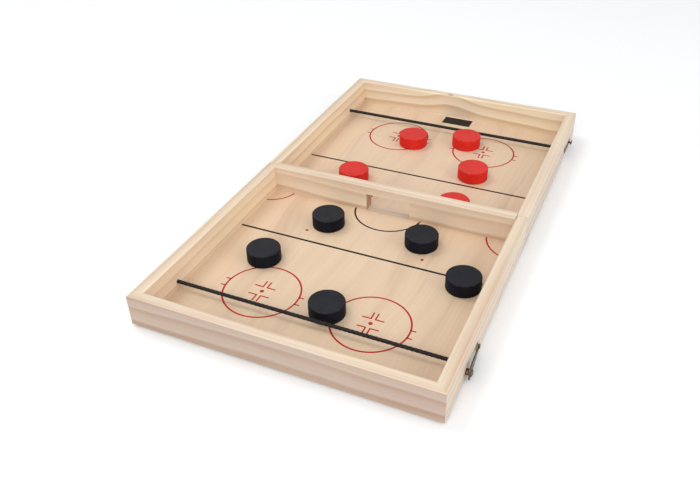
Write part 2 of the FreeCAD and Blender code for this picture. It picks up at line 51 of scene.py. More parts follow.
# ------------------------------------------------------------ shader graphs
class Graph:
    """A material's node tree, with one short method for each kind of node."""

    def __init__(self, name):
        self.material = bpy.data.materials.new(name)
        self.material.use_nodes = True
        self.nodes = self.material.node_tree.nodes
        self.links = self.material.node_tree.links
        self.shader = self.nodes["Principled BSDF"]

    def feed(self, socket, value):
        if isinstance(value, bpy.types.NodeSocket):
            self.links.new(value, socket)
        else:
            socket.default_value = value

    def set(self, **values):
        """Sets the shader's own sockets; an underscore in a name stands for a space."""
        for name, value in values.items():
            self.feed(self.shader.inputs[name.replace("_", " ")], value)

    def coordinate(self, output="Object"):
        return self.nodes.new("ShaderNodeTexCoord").outputs[output]

    def math(self, operation, *values):
        node = self.nodes.new("ShaderNodeMath")
        node.operation = operation
        for socket, value in zip(node.inputs, values):
            self.feed(socket, value)
        return node.outputs[0]

    def vector(self, operation, *values):
        node = self.nodes.new("ShaderNodeVectorMath")
        node.operation = operation
        for socket, value in zip(node.inputs, values):
            self.feed(socket, value)
        return node.outputs["Value" if operation in ("LENGTH", "DISTANCE", "DOT_PRODUCT") else "Vector"]

    def noise(self, place, detail=2.0, roughness=0.5, output="Fac"):
        node = self.nodes.new("ShaderNodeTexNoise")
        node.inputs["Scale"].default_value = 1.0
        node.inputs["Detail"].default_value = detail
        node.inputs["Roughness"].default_value = roughness
        self.feed(node.inputs["Vector"], place)
        return node.outputs[output]

    def ramp(self, value, *stops):
        """A colour ramp; each stop is a position with a grey value or a colour."""
        node = self.nodes.new("ShaderNodeValToRGB")
        points = node.color_ramp.elements
        while len(points) < len(stops):
            points.new(0.5)
        for point, (position, shade) in zip(points, stops):
            point.position = position
            point.color = (*shade, 1) if isinstance(shade, tuple) else (shade, shade, shade, 1)
        self.feed(node.inputs[0], value)
        return node.outputs[0]

    def mix(self, share, first, second, mode="MIX"):
        node = self.nodes.new("ShaderNodeMix")
        node.data_type = "RGBA"
        node.blend_type = mode
        for index, value in ((0, share), (6, first), (7, second)):
            self.feed(node.inputs[index], (*value, 1) if isinstance(value, tuple) else value)
        return node.outputs[2]

    def bump(self, height, strength, distance):
        node = self.nodes.new("ShaderNodeBump")
        node.inputs["Strength"].default_value = strength
        node.inputs["Distance"].default_value = distance
        self.feed(node.inputs["Height"], height)
        self.feed(self.shader.inputs["Normal"], node.outputs[0])


# ------------------------------------------------------------ materials
def wood(name, along, pith, ring, seed, early, late, strength, wave, lean, knots=(), painted_face_light=None):
    """Solid wood with growth rings round a pith line. Sizes in millimetres; along is the grain's axis.

    lean tilts the pith line from the grain's axis, in degrees, and so draws cathedrals. Each knot is a place,
    the radius of its heart, how far it bends the rings, and by how many rings. painted_face_light is the direction of
    a face and what its colour is multiplied by, to follow the uneven light of the photo.
    """
    g = Graph(name)
    place = g.coordinate()
    turn = (0.0, math.radians(lean[0]), math.radians(lean[1]) + (math.pi / 2 if along == "Y" else 0.0))
    turned = g.nodes.new("ShaderNodeMapping")
    turned.vector_type = "TEXTURE"
    turned.inputs["Location"].default_value = Vector(pith) * MM
    turned.inputs["Rotation"].default_value = turn
    g.feed(turned.inputs["Vector"], place)
    own = g.vector("ADD", turned.outputs[0], (0.37 * seed, 0.71 * seed, 0.53 * seed))

    def stretched(lengthwise, across, **settings):
        return g.noise(g.vector("MULTIPLY", own, (lengthwise, across, across)), **settings)

    slow = g.vector("SUBTRACT", stretched(5, 17, output="Color"), (0.5, 0.5, 0.5))
    quick = g.vector("SUBTRACT", stretched(28, 90, output="Color"), (0.5, 0.5, 0.5))
    bent = g.vector("ADD", turned.outputs[0], g.vector("MULTIPLY", slow, (0, 4 * wave * MM, 4 * wave * MM)))
    bent = g.vector("ADD", bent, g.vector("MULTIPLY", quick, (0, 0.9 * MM, 0.9 * MM)))
    from_pith = g.vector("LENGTH", g.vector("MULTIPLY", bent, (0, 1, 1)))
    phase = g.math("DIVIDE", from_pith, ring * MM)
    for spot, _, spread, rings in knots:
        away = g.math("DIVIDE", g.vector("DISTANCE", place, Vector(spot) * MM), spread * MM)
        swirl = g.math("EXPONENT", g.math("MULTIPLY", g.math("MULTIPLY", away, away), -1.0))
        phase = g.math("ADD", phase, g.math("MULTIPLY", swirl, rings))

    profile = g.ramp(
        g.math("FRACT", phase), (0.0, 0.0), (0.30, 0.10), (0.62, 0.55), (0.82, 1.0), (0.93, 0.75), (1.0, 0.0))
    each = g.nodes.new("ShaderNodeTexWhiteNoise")
    each.noise_dimensions = "1D"
    g.feed(each.inputs["W"], g.math("ADD", g.math("FLOOR", phase), seed))
    weight = g.math("MULTIPLY_ADD", each.outputs["Value"], 0.65 * strength, 0.35 * strength)
    patchy = g.math("MULTIPLY_ADD", stretched(9, 40), 1.1, 0.45)
    thin = g.ramp(g.math("FRACT", g.math("MULTIPLY", phase, 3.0)), (0.55, 0.0), (0.88, 1.0), (0.96, 0.0))
    profile = g.math("MAXIMUM", profile, g.math("MULTIPLY", thin, 0.42))
    share = g.math("MINIMUM", g.math("MULTIPLY", g.math("MULTIPLY", profile, weight), patchy), 1.0)

    yellower, browner = (
        tuple(c * t for c, t in zip(early, shift)) for shift in ((1.01, 1.015, 0.96), (0.95, 0.915, 0.90)))
    ground = g.ramp(stretched(6, 26), (0.36, yellower), (0.50, early), (0.66, browner))
    colour = g.mix(share, ground, late)
    fibre = stretched(15, 1100, detail=3.0, roughness=0.6)
    colour = g.mix(1.0, colour, g.ramp(fibre, (0.25, (0.93, 0.915, 0.90)), (0.75, 1.0)), "MULTIPLY")
    fleck = g.ramp(stretched(75, 1500, detail=1.0), (0.66, 0.0), (0.76, 1.0))
    colour = g.mix(g.math("MULTIPLY", fleck, 0.16), colour, tuple(channel * 0.62 for channel in late))
    for spot, radius, _, _ in knots:
        away = g.math("DIVIDE", g.vector("DISTANCE", place, Vector(spot) * MM), radius * MM)
        frayed = g.math("ADD", away, g.math("MULTIPLY_ADD", stretched(160, 420), 0.8, -0.4))
        heart = g.ramp(frayed, (0.55, 1.0), (1.05, 0.0))
        colour = g.mix(g.math("MULTIPLY", heart, 0.8), colour, (0.40, 0.20, 0.10))
    normal = g.coordinate("Normal")
    upward = g.vector("DOT_PRODUCT", normal, (0, 0, 1))
    # Painted highlight: the eased top edges, half turned upward, are made lighter.
    arris_highlight = g.ramp(upward, (0.25, 0.0), (0.50, 1.0), (0.90, 1.0), (0.99, 0.0))
    colour = g.mix(g.math("MULTIPLY", arris_highlight, 0.30), colour, tuple(channel * 1.12 for channel in early))
    # Painted light and shade: the face that points along the given direction is made lighter or darker than
    # the rest of the board.
    if painted_face_light:
        direction, tint = painted_face_light
        on_face = g.ramp(g.vector("DOT_PRODUCT", normal, direction), (0.45, 0.0), (0.9, 1.0))
        colour = g.mix(on_face, colour, g.mix(1.0, colour, tint, "MULTIPLY"))
    grain_axis = (0, 1, 0) if along == "Y" else (1, 0, 0)
    facing = g.math("ABSOLUTE", g.vector("DOT_PRODUCT", normal, grain_axis))
    cut_end = g.ramp(facing, (0.75, 0.0), (0.95, 1.0))
    colour = g.mix(cut_end, colour, g.mix(1.0, colour, (0.74, 0.62, 0.50), "MULTIPLY"))

    g.set(Base_Color=colour, Roughness=g.math("MULTIPLY_ADD", fibre, 0.22, 0.40))
    g.bump(g.math("MULTIPLY_ADD", share, 0.6, fibre), 0.35, 0.12 * MM)
    return g.material


def plywood(name, seed):
    """Rotary-cut face veneer: pale, with faint streaks and broad wavy figure along Y."""
    g = Graph(name)
    own = g.vector("ADD", g.coordinate(), (0.9 * seed, 0.6 * seed, 0))
    sway = g.math("MULTIPLY_ADD", g.noise(g.vector("MULTIPLY", own, (9, 4, 0))), 0.05, -0.025)
    bend = g.nodes.new("ShaderNodeCombineXYZ")
    g.feed(bend.inputs[0], sway)
    swayed = g.vector("ADD", own, bend.outputs[0])
    figure = g.noise(g.vector("MULTIPLY", swayed, (34, 2.2, 1)), detail=4.0, roughness=0.62)
    colour = g.ramp(
        figure, (0.28, (0.62, 0.440, 0.298)), (0.46, (0.705, 0.527, 0.370)), (0.60, (0.728, 0.545, 0.378)),
        (0.76, (0.760, 0.585, 0.420)))
    streak = g.noise(g.vector("MULTIPLY", swayed, (420, 5, 1)), detail=2.0)
    colour = g.mix(1.0, colour, g.ramp(streak, (0.3, (0.945, 0.93, 0.91)), (0.7, 1.0)), "MULTIPLY")
    pore = g.noise(g.vector("MULTIPLY", own, (1500, 110, 1)), detail=1.0)
    in_pore = g.math("MULTIPLY", g.ramp(pore, (0.68, 0.0), (0.76, 1.0)), 0.22)
    colour = g.mix(in_pore, colour, (0.40, 0.24, 0.13))
    g.set(Base_Color=colour, Roughness=g.math("MULTIPLY_ADD", streak, 0.16, 0.36))
    g.bump(g.math("ADD", streak, g.math("MULTIPLY", pore, -0.4)), 0.2, 0.06 * MM)
    return g.material


def paint(name, colour, worn, rough):
    """Satin paint on turned wood: fine turning marks, and bare-looking wear where the wear mark is."""
    g = Graph(name)
    place = g.coordinate()
    peel = g.noise(g.vector("MULTIPLY", place, (900, 900, 900)), detail=2.0)
    turning = g.noise(g.vector("MULTIPLY", place, (12, 12, 1500)), detail=2.0)
    blotch = g.noise(g.vector("MULTIPLY", place, (70, 70, 70)), detail=3.0)
    lighter = tuple(min(1.0, channel * 1.18 + 0.005) for channel in colour)
    shade = g.mix(g.ramp(blotch, (0.35, 0.0), (0.68, 1.0)), colour, lighter)
    shade = g.mix(g.math("MULTIPLY", g.ramp(turning, (0.50, 0.0), (0.62, 1.0)), 0.5), shade, lighter)
    mark = g.nodes.new("ShaderNodeAttribute")
    mark.attribute_name = "wear"
    rubbed = g.math("MULTIPLY", mark.outputs["Fac"], g.ramp(
        g.noise(g.vector("MULTIPLY", place, (420, 420, 420)), detail=3.0), (0.56, 0.0), (0.70, 1.0)))
    shade = g.mix(g.math("MULTIPLY", rubbed, 0.4), shade, worn)
    upward = g.vector("DOT_PRODUCT", g.coordinate("Normal"), (0, 0, 1))
    sheen = g.math("MULTIPLY_ADD", g.ramp(upward, (0.2, 0.0), (0.9, 1.0)), 0.20, 0.05)
    g.set(Base_Color=shade, Roughness=g.math("MULTIPLY_ADD", blotch, 0.14, rough), Specular_IOR_Level=sheen)
    g.bump(g.math("ADD", g.math("MULTIPLY", peel, 0.5), g.math("MULTIPLY", turning, 1.5)), 0.3, 0.08 * MM)
    return g.material


def ink(name, colour):
    """Screen-printed ink: the wood's pores show as tiny gaps in the colour."""
    g = Graph(name)
    place = g.coordinate()
    gap = g.noise(g.vector("MULTIPLY", place, (1500, 240, 1)), detail=2.0)
    shade = g.mix(g.math("MULTIPLY", g.ramp(gap, (0.64, 0.0), (0.80, 1.0)), 0.10), colour, (0.60, 0.40, 0.27))
    g.set(Base_Color=shade, Roughness=g.math("MULTIPLY_ADD", gap, 0.2, 0.45), Specular_IOR_Level=0.25)
    return g.material


def bronze(name, ground, rubbed):
    """Antique bronze plating: dark patina in patches, bright where edges are rubbed."""
    g = Graph(name)
    place = g.coordinate()
    patina = g.noise(g.vector("MULTIPLY", place, (190, 190, 190)), detail=5.0, roughness=0.55)
    soft_edge = g.nodes.new("ShaderNodeBevel")
    soft_edge.samples = 4
    soft_edge.inputs["Radius"].default_value = 0.35 * MM
    flat = g.nodes.new("ShaderNodeNewGeometry").outputs["Normal"]
    edge = g.math("SUBTRACT", 1.0, g.vector("DOT_PRODUCT", soft_edge.outputs[0], flat))
    edge = g.math(
        "MULTIPLY", g.ramp(edge, (0.01, 0.0), (0.12, 1.0)), g.ramp(patina, (0.35, 0.35), (0.6, 1.0)))
    dark = tuple(channel * 0.48 for channel in ground)
    shade = g.mix(g.ramp(patina, (0.30, 0.0), (0.70, 1.0)), dark, ground)
    shade = g.mix(g.math("MULTIPLY", edge, 0.7), shade, rubbed)
    scratch = g.noise(g.vector("MULTIPLY", place, (3000, 200, 3000)), detail=1.0)
    g.set(Base_Color=shade, Metallic=1.0, Roughness=g.math("MULTIPLY_ADD", patina, -0.28, 0.56))
    g.bump(g.math("ADD", g.math("MULTIPLY", scratch, 0.4), patina), 0.25, 0.05 * MM)
    return g.material


def braid_sleeve(name):
    """Matt polyester yarn: each strand a little different, with fine filaments."""
    g = Graph(name)
    island = g.nodes.new("ShaderNodeNewGeometry").outputs["Random Per Island"]
    fuzz = g.noise(g.vector("MULTIPLY", g.coordinate(), (3800, 3800, 3800)), detail=3.0)
    shade = g.mix(island, (0.009, 0.0075, 0.0075), (0.020, 0.017, 0.016))
    fluff = g.math("MULTIPLY", g.ramp(fuzz, (0.45, 0.0), (0.75, 1.0)), 0.35)
    shade = g.mix(fluff, shade, (0.050, 0.043, 0.040))
    g.set(Base_Color=shade, Roughness=g.math("MULTIPLY_ADD", fuzz, 0.2, 0.62), Specular_IOR_Level=0.25)
    g.bump(fuzz, 0.5, 0.08 * MM)
    return g.material


def rubber(name):
    g = Graph(name)
    speck = g.noise(g.vector("MULTIPLY", g.coordinate(), (1400, 1400, 1400)), detail=3.0)
    g.set(Base_Color=g.mix(speck, (0.045, 0.043, 0.041), (0.10, 0.096, 0.09)), Roughness=0.85)
    g.bump(speck, 0.5, 0.1 * MM)
    return g.material


EARLY, LATE = (0.757, 0.632, 0.495), (0.58, 0.402, 0.262)
RED_PAINT = paint("red_satin", (0.55, 0.019, 0.012), (0.62, 0.16, 0.10), 0.42)
BLACK_PAINT = paint("black_satin", (0.0042, 0.0046, 0.0088), (0.06, 0.052, 0.045), 0.44)
RED_INK = ink("red_ink", (0.42, 0.020, 0.018))
BLACK_INK = ink("black_ink", (0.007, 0.0065, 0.007))
BRONZE = bronze("antique_bronze", (0.215, 0.158, 0.098), (0.64, 0.50, 0.33))
HINGE_METAL = bronze("hinge_bronze", (0.25, 0.185, 0.115), (0.56, 0.44, 0.29))
SLEEVE = braid_sleeve("braided_sleeve")
RUBBER = rubber("foot_rubber")


def wear(node, material):
    """Gives a CAD node its material."""
    slots = NODES[node].material_slots
    for place in slots:
        place.material = material
    if not slots:
        NODES[node].data.materials.append(material)


def soften(node, width, segments=2):
    """Eases a CAD node's sharp edges with modifiers; its mesh stays as it is."""
    piece = NODES[node]
    weld = piece.modifiers.new("weld", "WELD")
    weld.merge_threshold = 0.005 * MM
    ease = piece.modifiers.new("ease", "BEVEL")
    ease.width = width
    ease.segments = segments
    ease.limit_method = "ANGLE"
    ease.angle_limit = math.radians(40)
    ease.harden_normals = True


# ------------------------------------------------------------ mesh building
def piece_from(name, build, body, material, smooth=35):
    """A new piece: build fills a bmesh in the row frame, and the piece rides on body."""
    mesh = bpy.data.meshes.new(name)
    bm = bmesh.new()
    build(bm)
    bm.to_mesh(mesh)
    bm.free()
    mesh.materials.append(material)
    piece = bpy.data.objects.new(name, mesh)
    bpy.context.scene.collection.objects.link(piece)
    if smooth:
        mesh.shade_smooth()
        mesh.set_sharp_from_angle(angle=math.radians(smooth))
    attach(piece, body)
    return piece


def ring_of(bm, centre, first, second, radius_a, radius_b, count):
    """A closed loop of vertices: an ellipse round centre in the plane of two unit vectors."""
    loop = []
    for i in range(count):
        angle = 2 * math.pi * i / count
        loop.append(bm.verts.new(
            centre + first * (radius_a * math.cos(angle)) + second * (radius_b * math.sin(angle))))
    return loop


def skin(bm, loops, caps=True):
    """Quads between each loop and the next, and a face at each end."""
    for lower, upper in zip(loops, loops[1:]):
        count = len(lower)
        for i in range(count):
            bm.faces.new((lower[i], lower[(i + 1) % count], upper[(i + 1) % count], upper[i]))
    if caps:
        bm.faces.new(list(reversed(loops[0])))
        bm.faces.new(loops[-1])


def frame_of(axis):
    """Two unit vectors square to axis and to each other, right-handed with it."""
    axis = axis.normalized()
    helper = Vector((0, 0, 1)) if abs(axis.z) < 0.9 else Vector((1, 0, 0))
    first = helper.cross(axis).normalized()
    return first, axis.cross(first)


def turned_solid(bm, base, axis, profile, count=64):
    """A lathe form: profile is (distance along axis, radius) from one end to the other."""
    axis = axis.normalized()
    first, second = frame_of(axis)
    skin(bm, [
        ring_of(bm, base + axis * along, first, second, radius, radius, count) for along, radius in profile])


def quarter(centre, radius, start, end, steps):
    """Points of an arc in a profile: angles in degrees from the axis' direction."""
    points = []
    for i in range(steps + 1):
        angle = math.radians(start + (end - start) * i / steps)
        points.append((centre[0] + radius * math.cos(angle), centre[1] + radius * math.sin(angle)))
    return points


# ------------------------------------------------------------ camera, cords
def make_camera():
    """The viewing angle: a hand-held view from the near right, rolled by a little over a degree."""
    azimuth, elevation, roll = math.radians(24.87), math.radians(35.97), math.radians(-1.24)
    level_part = math.cos(elevation)
    back = Vector((math.sin(azimuth) * level_part, -math.cos(azimuth) * level_part, math.sin(elevation)))
    right = (-back).cross(Vector((0, 0, 1))).normalized()
    up = right.cross(-back)
    rolled_right = right * math.cos(roll) + up * math.sin(roll)
    rolled_up = up * math.cos(roll) - right * math.sin(roll)
    data = bpy.data.cameras.new("camera")
    data.sensor_width = 36.0
    data.lens = 38.56
    camera = bpy.data.objects.new("camera", data)
    camera.matrix_world = Matrix.Translation((0.2595, -0.66998, 0.47265)) @ Matrix(
        (rolled_right, rolled_up, back)).transposed().to_4x4()
    bpy.context.scene.collection.objects.link(camera)
    bpy.context.scene.camera = camera


def route_line(points, steps):
    """Points along the NURBS spline that a cord's route points control."""
    curve = bpy.data.curves.new("route", "CURVE")
    curve.dimensions = "3D"
    spline = curve.splines.new("NURBS")
    spline.points.add(len(points) - 1)
    for control, point in zip(spline.points, points):
        control.co = (*point, 1)
    spline.order_u = 3
    spline.use_endpoint_u = True
    spline.resolution_u = steps
    holder = bpy.data.objects.new("route", curve)
    mesh = bpy.data.meshes.new_from_object(holder)
    line = [vertex.co.copy() for vertex in mesh.vertices]
    bpy.data.objects.remove(holder)
    bpy.data.curves.remove(curve)
    bpy.data.meshes.remove(mesh)
    return line


def even_points(line, step):
    """The line resampled at even steps, with the direction at each point."""
    lengths = [0.0]
    for a, b in zip(line, line[1:]):
        lengths.append(lengths[-1] + (b - a).length)
    count = max(2, round(lengths[-1] / step))
    points, segment = [], 0
    for i in range(count + 1):
        target = lengths[-1] * i / count
        while segment < len(line) - 2 and lengths[segment + 1] < target:
            segment += 1
        share = (target - lengths[segment]) / max(lengths[segment + 1] - lengths[segment], 1e-12)
        points.append(line[segment].lerp(line[segment + 1], share))
    return points


def moving_frames(points):
    """A frame at each point that turns with the line and doesn't twist round it."""
    tangents = []
    for i in range(len(points)):
        ahead, behind = points[min(i + 1, len(points) - 1)], points[max(i - 1, 0)]
        tangents.append((ahead - behind).normalized())
    first, _ = frame_of(tangents[0])
    frames = []
    for tangent in tangents:
        first = (first - tangent * first.dot(tangent)).normalized()
        frames.append((tangent, first, tangent.cross(first)))
    return frames


BRAID_EACH_WAY = 6
BRAID_PITCH = 3.5  # one turn of a strand, in cord diameters
BRAID_STEPS = 36  # points of a strand in one turn


def braid(bm, line, radius):
    """A braided cord along a line: yarns wound both ways over a core, each over one and under the next."""
    turn_length = 2 * radius * BRAID_PITCH
    points = even_points(line, turn_length / BRAID_STEPS)
    frames = moving_frames(points)
    core = [
        ring_of(bm, point, first, second, 0.74 * radius, 0.74 * radius, 10)
        for point, (_, first, second) in zip(points, frames)][::6]
    skin(bm, core)
    half_width, half_thick, wave = 0.335 * radius, 0.145 * radius, 0.06 * radius
    middle = radius - half_thick - wave
    for way in (-1, 1):
        for strand in range(BRAID_EACH_WAY):
            centres = []
            for i, (point, (_, first, second)) in enumerate(zip(points, frames)):
                turns = i / BRAID_STEPS
                angle = 2 * math.pi * (way * turns + (strand + (0.5 if way > 0 else 0.0)) / BRAID_EACH_WAY)
                crossing = math.pi * (2 * BRAID_EACH_WAY * turns + strand)
                out = first * math.cos(angle) + second * math.sin(angle)
                centres.append((point + out * (middle + way * wave * math.cos(crossing)), out))
            loops = []
            for i, (centre, out) in enumerate(centres):
                run = (centres[min(i + 1, len(centres) - 1)][0] - centres[max(i - 1, 0)][0]).normalized()
                aside = run.cross(out).normalized()
                loops.append(ring_of(bm, centre, aside, run.cross(aside), half_width, half_thick, 6))
            skin(bm, loops)


def knot_line(centre, side, size, depth):
    """An overhand knot pulled tight, drawn as a trefoil seen along the cord."""
    points = []
    for i in range(97):
        t = 2 * math.pi * i / 96
        points.append(centre + Vector((
            side * depth * math.sin(3 * t),
            size / 3 * (math.sin(t) + 2 * math.sin(2 * t)),
            size / 3 * (math.cos(t) - 2 * math.cos(2 * t)))))
    return points


def make_cord(tray_name):
    """The elastic cord from knot to knot, and its knots in the side rails' counterbores."""
    low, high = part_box(f"{tray_name}_cord")
    middle = (low + high) / 2
    radius = (high.z - low.z) / 2
    ends = [Vector((x, middle.y, middle.z)) for x in (low.x, middle.x, high.x)]
    line = route_line(ends, 24)
    body = f"{tray_name}_tray"
    cord = piece_from(f"{tray_name}_elastic", lambda bm: braid(bm, line, radius), body, SLEEVE, 60)
    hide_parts(f"{tray_name}_cord")
    knot_low, knot_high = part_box(f"{tray_name}_cord_knots")
    room = (knot_high.z - knot_low.z) / 2
    yarn = 0.36 * room
    ends_depth = (knot_high.x - high.x) / 2

    def knots(bm):
        for _, side in SIDES:
            centre = Vector((side * (high.x + ends_depth), middle.y, middle.z))
            braid(bm, knot_line(centre, side, room - yarn, ends_depth - yarn), yarn)
            tail_way = Vector((side, 0.12, -0.35))
            tail = [centre + tail_way * along for along in (0, ends_depth * 0.9)]
            braid(bm, tail, 0.9 * yarn)

    knot_piece = piece_from(f"{tray_name}_elastic_knots", knots, body, SLEEVE, 60)
    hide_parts(f"{tray_name}_cord_knots")
    even_points(line, 4 * MM)


make_camera()
for tray_name, _ in TRAYS:
    make_cord(tray_name)


# ------------------------------------------------------------ wooden trays
def rail_wood():
    """Every rail and divider board with a pith line and rings of its own, and a knot in the far end rail."""
    # The face tints below are painted light and shade: darker on the near end rail's front face and the far
    # right rail's outer face, lighter on the left rails' and far end rail's inner faces, bluer on the near
    # right rail's outer face.
    boards = {
        "near_end_rail": dict(
            along="X", pith=(0, -209, -20), ring=8.5, seed=1, lean=(-0.8, 0.0), wave=1.8, strength=1.05,
            painted_face_light=((0, -1, 0), (0.66, 0.62, 0.66))),
        "near_left_rail": dict(
            along="Y", pith=(-84, 0, -30), ring=8, seed=2, lean=(0.1, 0.1), wave=1.5, strength=0.8,
            painted_face_light=((1, 0, 0), (1.22, 1.19, 1.14))),
        "near_right_rail": dict(
            along="Y", pith=(88, 0, -34), ring=7.5, seed=3, lean=(0, -0.1), wave=1.5, strength=0.8,
            painted_face_light=((1, 0, 0), (1.0, 1.02, 1.09))),
        "near_divider": dict(
            along="X", pith=(0, 50, -16), ring=8, seed=4, lean=(0.4, 0), wave=2.4, strength=1.45),
        "far_end_rail": dict(
            along="X", pith=(0, 216, -24), ring=9.5, seed=5, lean=(0.3, 0.0), wave=2.4, strength=1.35,
            painted_face_light=((0, -1, 0), (1.08, 1.12, 1.10)), knots=[((-15, 262, 38), 5.0, 32, -0.75)]),
        "far_left_rail": dict(
            along="Y", pith=(-84, 0, -32), ring=8, seed=6, lean=(-0.1, 0.1), wave=1.5, strength=0.8,
            painted_face_light=((1, 0, 0), (1.22, 1.22, 1.17))),
        "far_right_rail": dict(
            along="Y", pith=(88, 0, -30), ring=7.5, seed=7, lean=(0.1, 0.1), wave=1.5, strength=0.8,
            painted_face_light=((1, 0, 0), (0.93, 0.94, 1.0))),
        "far_divider": dict(
            along="X", pith=(0, -50, -18), ring=8, seed=8, lean=(-0.3, 0), wave=2.0, strength=1.1),
    }
    for node, facts in boards.items():
        wear(node, wood(f"pine_{node}", early=EARLY, late=LATE, **facts))
        soften(node, 0.25 * MM)
    for seed, (tray_name, _) in enumerate(TRAYS, start=1):
        wear(f"{tray_name}_panel", plywood(f"plywood_{tray_name}", seed))


# ------------------------------------------------------------ printed marks
INK_THICK = 0.03 * MM
INK_SUNK = 0.01 * MM


def ink_outline(bm, points, level):
    """A flat closed shape printed on the panel."""
    top = [bm.verts.new((x * MM, y * MM, level + INK_THICK)) for x, y in points]
    bottom = [bm.verts.new((x * MM, y * MM, level - INK_SUNK)) for x, y in points]
    skin(bm, [bottom, top])


def ink_bar(bm, start, end, width, level):
    (x0, y0), (x1, y1) = start, end
    length = math.hypot(x1 - x0, y1 - y0)
    dx, dy = (y1 - y0) / length * width / 2, -(x1 - x0) / length * width / 2
    ink_outline(bm, [(x0 + dx, y0 + dy), (x1 + dx, y1 + dy), (x1 - dx, y1 - dy), (x0 - dx, y0 - dy)], level)


def ink_arc(bm, centre, radius, width, start, end, level):
    """A printed arc, or a whole ring when it runs round 360 degrees."""
    steps = max(8, round(abs(end - start) / 3))
    loops = []
    for i in range(steps + 1):
        angle = math.radians(start + (end - start) * i / steps)
        out = Vector((math.cos(angle), math.sin(angle), 0))
        near, away = (Vector((*centre, 0)) + out * (radius + s * width / 2) for s in (-1, 1))
        loop = []
        for point, z in ((near, -INK_SUNK), (away, -INK_SUNK), (away, INK_THICK), (near, INK_THICK)):
            loop.append(bm.verts.new((point.x * MM, point.y * MM, level + z)))
        loops.append(loop)
    whole = abs(end - start) > 359.9
    skin(bm, loops, caps=not whole)
    if whole:
        bmesh.ops.remove_doubles(bm, verts=loops[0] + loops[-1], dist=0.001 * MM)


def ink_dot(bm, centre, radius, level):
    count = 36
    x, y = centre
    angles = [2 * math.pi * i / count for i in range(count)]
    ink_outline(bm, [(x + radius * math.cos(a), y + radius * math.sin(a)) for a in angles], level)


def face_off(bm, centre, radius, level):
    """A face-off circle: ring, dot, four corner marks round the dot and two ticks on each side."""
    ink_arc(bm, centre, radius, 1.9, 0, 360, level)
    ink_dot(bm, centre, 2.2, level)
    gap_x, gap_y, arm_x, arm_y, tick = 2.3, 6.7, 11.4, 15.9, 5.4
    for sx in (-1, 1):
        for sy in (-1, 1):
            def at(x, y):
                return centre[0] + sx * x, centre[1] + sy * y
            ink_bar(bm, at(gap_x - 0.8, gap_y), at(arm_x, gap_y), 1.6, level)
            ink_bar(bm, at(gap_x, gap_y + 0.8), at(gap_x, arm_y), 1.6, level)
            edge = math.sqrt(radius ** 2 - tick ** 2)
            ink_bar(bm, at(edge, tick), at(edge + 5.2, tick), 1.6, level)


def printed_marks():
    """The rink drawn on both panels, in red and black."""
    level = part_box("near_panel")[1].z
    inner_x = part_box("near_divider")[1].x / MM
    seam_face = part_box("far_divider")[1].y / MM
    circles = {
        "near": [((-63.6, -182.5), 39.2), ((54.0, -184.7), 38.6)],
        "far": [((-57.5, 177.5), 38.6), ((59.0, 175.8), 38.6)]}
    line_at = {"near": -87.7, "far": 87.2}
    spots = {"near": [(-70.7, -69.4), (64.8, -72.5)], "far": []}
    corner_arcs = (((-150.0, 0.0), 31.5), ((152.5, 0.0), 38.0))
    goal_mark = {"near": ((-19.3, -256.5), (19.3, -237.4)), "far": ((-17.3, 237.4), (21.3, 256.5))}
    for tray_name, tray in TRAYS:
        body = f"{tray_name}_tray"

        def red(bm):
            for centre, radius in circles[tray_name]:
                face_off(bm, centre, radius, level)
            for spot in spots[tray_name]:
                ink_dot(bm, spot, 1.8, level)
            for (cx, cy), radius in corner_arcs:
                toward = math.copysign(1, -cx)
                wall = math.degrees(math.acos((abs(cx) - inner_x) / radius))
                rise = math.degrees(math.asin(seam_face / radius))
                angles = [rise, wall] if toward > 0 else [180 - rise, 180 - wall]
                ink_arc(bm, (cx, cy), radius, 1.9, tray * angles[0], tray * angles[1], level)

        def black(bm):
            y = line_at[tray_name]
            ink_bar(bm, (-inner_x, y), (134.0 if tray < 0 else inner_x, y), 2.8, level)
            rise = math.degrees(math.asin(seam_face / 39.5))
            ink_arc(bm, (0, 0), 39.5, 2.0, tray * rise, tray * (180 - rise), level)
            (x0, y0), (x1, y1) = goal_mark[tray_name]
            ink_outline(bm, [(x0, y0), (x1, y0), (x1, y1), (x0, y1)], level)

        piece_from(f"{tray_name}_red_marks", red, body, RED_INK, 0)
        piece_from(f"{tray_name}_black_marks", black, body, BLACK_INK, 0)


# ------------------------------------------------------------ pucks
def make_puck(node, material):
    """A turned puck: rounded edges, a faint dish in each face, and rubbed rims."""
    low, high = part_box(node)
    centre = (low + high) / 2
    radius, height = (high.x - low.x) / 2, high.z - low.z
    rounding, dish = 1.3 * MM, 0.12 * MM
    lower = [(dish, 0.02 * radius), (dish, 0.55 * radius), (0.0, radius - 1.9 * rounding)]
    lower += quarter((rounding, radius - rounding), rounding, 180, 90, 6)
    lower += [(1.15 * rounding, radius), (1.5 * rounding, radius)]
    profile = lower + [(height - along, away) for along, away in reversed(lower)]

    def build(bm):
        turned_solid(bm, Vector((centre.x, centre.y, low.z)), Vector((0, 0, 1)), profile, 96)

    puck = piece_from(f"{node}_turned", build, node, material, 50)
    mark = puck.data.attributes.new("wear", "FLOAT", "POINT")
    for vertex, item in zip(puck.data.vertices, mark.data):
        along = vertex.co.z - low.z
        away = math.hypot(vertex.co.x - centre.x, vertex.co.y - centre.y)
        on_rim = away > radius - 1.5 * rounding and min(along, height - along) < 1.1 * rounding
        item.value = 1.0 if on_rim else 0.0
    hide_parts(node)


